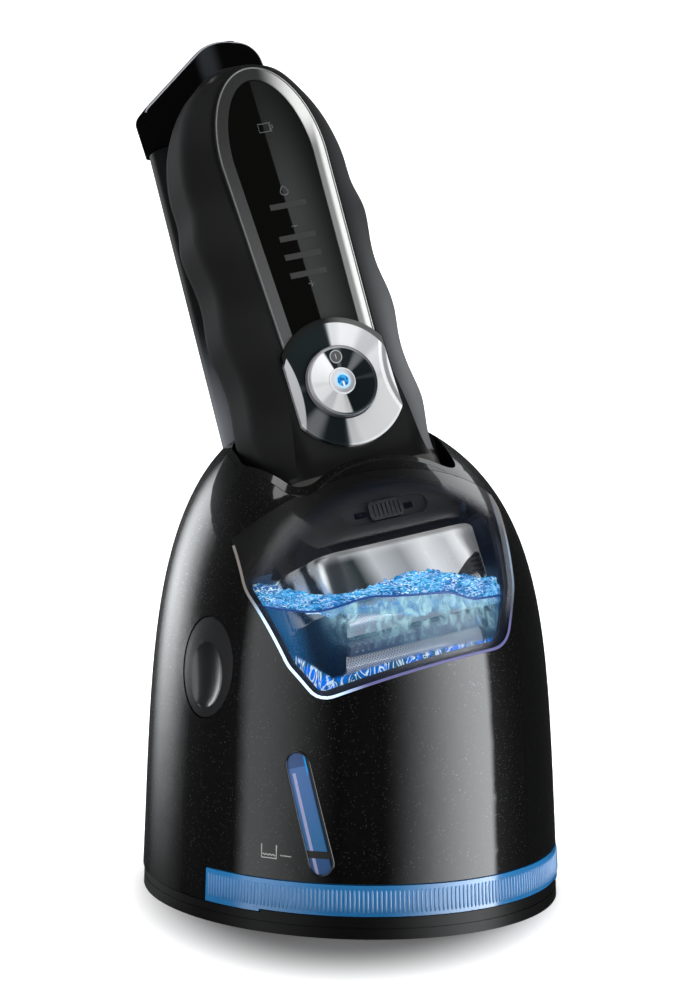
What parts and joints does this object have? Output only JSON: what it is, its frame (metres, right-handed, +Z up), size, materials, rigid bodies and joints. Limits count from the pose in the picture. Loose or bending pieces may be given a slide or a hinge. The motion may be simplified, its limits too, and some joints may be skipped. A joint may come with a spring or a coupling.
{
  "type": "shaver cleaning station",
  "caption": "Dome-shaped desk cleaning station that holds a foil shaver head down in a wash basin, with a pump and a slide-in fluid cartridge.",
  "frame": {"origin": "centre of the base's flat underside, on the surface that it stands on", "axes": "+Z up, -Y towards the front with the chamber window, +X to the right as seen from the front"},
  "size_m": [0.1158, 0.1408, 0.2423],
  "materials": {
    "dome_black": "high gloss black with a fine metallic fleck",
    "base_black": "fine grained black",
    "foot_rubber": "matt black",
    "steel": "turned and plated",
    "cartridge_blue": "translucent blue, ribbed on the visible band",
    "cartridge_grey": "moulded grey",
    "fluid_blue": "clear blue cleaning fluid",
    "window_clear": "clear tinted pane",
    "level_blue": "translucent blue",
    "button_dark": "dark grey with a dished middle",
    "inner_grey": "moulded dark grey",
    "board_green": "solder mask green",
    "pin_gold": "gold flashed",
    "arm_grey": "gloss dark grey",
    "cap_black": "gloss black",
    "soft_grip": "soft touch black",
    "handle_black": "satin black",
    "panel_black": "mirror black display pane",
    "frame_chrome": "satin chrome",
    "button_chrome": "dished bright chrome",
    "lens_clear": "clear ring",
    "led_blue": "lit blue",
    "battery_blue": "shrink sleeve",
    "head_chrome": "satin chrome",
    "head_grey": "fine grained dark grey",
    "foil_steel": "perforated foil",
    "trimmer_steel": "toothed steel"
  },
  "bodies": {
    "base": {"base_plate": "base_black", "rubber_feet": "foot_rubber", "base_screws": "steel", "guide_posts": "steel", "lift_springs": "steel", "cartridge_tank": "cartridge_blue", "cartridge_lid": "cartridge_grey", "cartridge_filter": "cartridge_grey", "cartridge_fluid": "fluid_blue"},
    "housing": {"dome_shell": "dome_black", "chamber_window": "window_clear", "opening_rim": "dome_black", "level_window": "level_blue", "level_bar": "base_black", "chassis": "inner_grey", "pump_housing": "inner_grey", "pump_motor": "steel", "intake_tube": "cartridge_grey", "outlet_tube": "cartridge_grey", "drain_tube": "cartridge_grey", "circuit_board": "board_green", "power_socket": "base_black", "socket_pins": "pin_gold", "wash_basin": "inner_grey", "cleaning_fluid": "fluid_blue", "arm_front_cover": "arm_grey", "arm_back_cover": "arm_grey", "arm_cap": "cap_black", "contact_block": "base_black"},
    "lift_button": {"lift_button": "button_dark", "latch_slide": "inner_grey"},
    "start_button": {"start_button": "button_dark"},
    "contact_pins": {"contact_pins": "pin_gold"},
    "pump_rotor": {"pump_impeller": "inner_grey"},
    "shaver": {"grip_left": "soft_grip", "grip_right": "soft_grip", "handle_front": "handle_black", "handle_back": "handle_black", "neck": "head_grey", "display_frame": "frame_chrome", "display_panel": "panel_black", "button_surround": "button_chrome", "shaver_battery": "battery_blue", "shaver_drive": "inner_grey", "drive_pin": "steel", "shaver_board": "board_green"},
    "power_button": {"power_button": "button_chrome", "button_lens": "lens_clear", "button_led": "led_blue"},
    "head_lock": {"head_lock_slider": "base_black"},
    "shaving_head": {"head_frame": "head_chrome", "head_core": "head_grey", "cassette_frame": "head_grey"},
    "release_button": {"release_button": "base_black"},
    "foil_front": {"foil_front": "foil_steel", "cutter_front": "steel"},
    "foil_rear": {"foil_rear": "foil_steel", "cutter_rear": "steel"},
    "middle_trimmer": {"middle_trimmer": "trimmer_steel"}
  },
  "joints": [
    {"name": "housing_lift", "type": "slide", "parent": "base", "child": "housing", "axis": [0, 0, 1], "range_m": [0, 0.034]},
    {"name": "lift_button_press", "type": "slide", "parent": "housing", "child": "lift_button", "axis": [0.9668, 0.2555, 0], "range_m": [0, 0.0025], "stiffness_N_per_m": 200},
    {"name": "start_button_press", "type": "slide", "parent": "housing", "child": "start_button", "axis": [0.1444, -0.3707, -0.9175], "range_m": [0, 0.0012], "stiffness_N_per_m": 300},
    {"name": "contact_pins_press", "type": "slide", "parent": "housing", "child": "contact_pins", "axis": [0.0518, 0.9287, -0.3671], "range_m": [0, 0.0012], "stiffness_N_per_m": 150},
    {"name": "pump_spin", "type": "hinge", "parent": "housing", "child": "pump_rotor", "pos_m": [0.022, 0.018, 0.05], "axis": [0, 0, 1], "continuous": true},
    {"name": "shaver_lift", "type": "slide", "parent": "housing", "child": "shaver", "axis": [-0.1444, 0.3707, 0.9175], "range_m": [0, 0.205]},
    {"name": "power_button_press", "type": "slide", "parent": "shaver", "child": "power_button", "axis": [0.0518, 0.9287, -0.3671], "range_m": [0, 0.0008], "stiffness_N_per_m": 400},
    {"name": "head_lock_slide", "type": "slide", "parent": "shaver", "child": "head_lock", "axis": [0.9882, 0.0055, 0.1533], "range_m": [-0.006, 0.006]},
    {"name": "head_pivot", "type": "hinge", "parent": "shaver", "child": "shaving_head", "pos_m": [0.00129, -0.02032, 0.09047], "axis": [0.9882, 0.0055, 0.1533], "range_deg": [-5, 5], "stiffness_Nm_per_rad": 0.6},
    {"name": "release_button_press", "type": "slide", "parent": "shaving_head", "child": "release_button", "axis": [0.0518, 0.9287, -0.3671], "range_m": [0, 0.0008], "stiffness_N_per_m": 300},
    {"name": "foil_front_float", "type": "slide", "parent": "shaving_head", "child": "foil_front", "axis": [-0.063, 0.9256, 0.3733], "range_m": [0, 0.0015], "stiffness_N_per_m": 300},
    {"name": "foil_rear_float", "type": "slide", "parent": "shaving_head", "child": "foil_rear", "axis": [-0.063, 0.9256, 0.3733], "range_m": [0, 0.0015], "stiffness_N_per_m": 300},
    {"name": "middle_trimmer_float", "type": "slide", "parent": "shaving_head", "child": "middle_trimmer", "axis": [-0.063, 0.9256, 0.3733], "range_m": [0, 0.0015], "stiffness_N_per_m": 200}
  ]
}
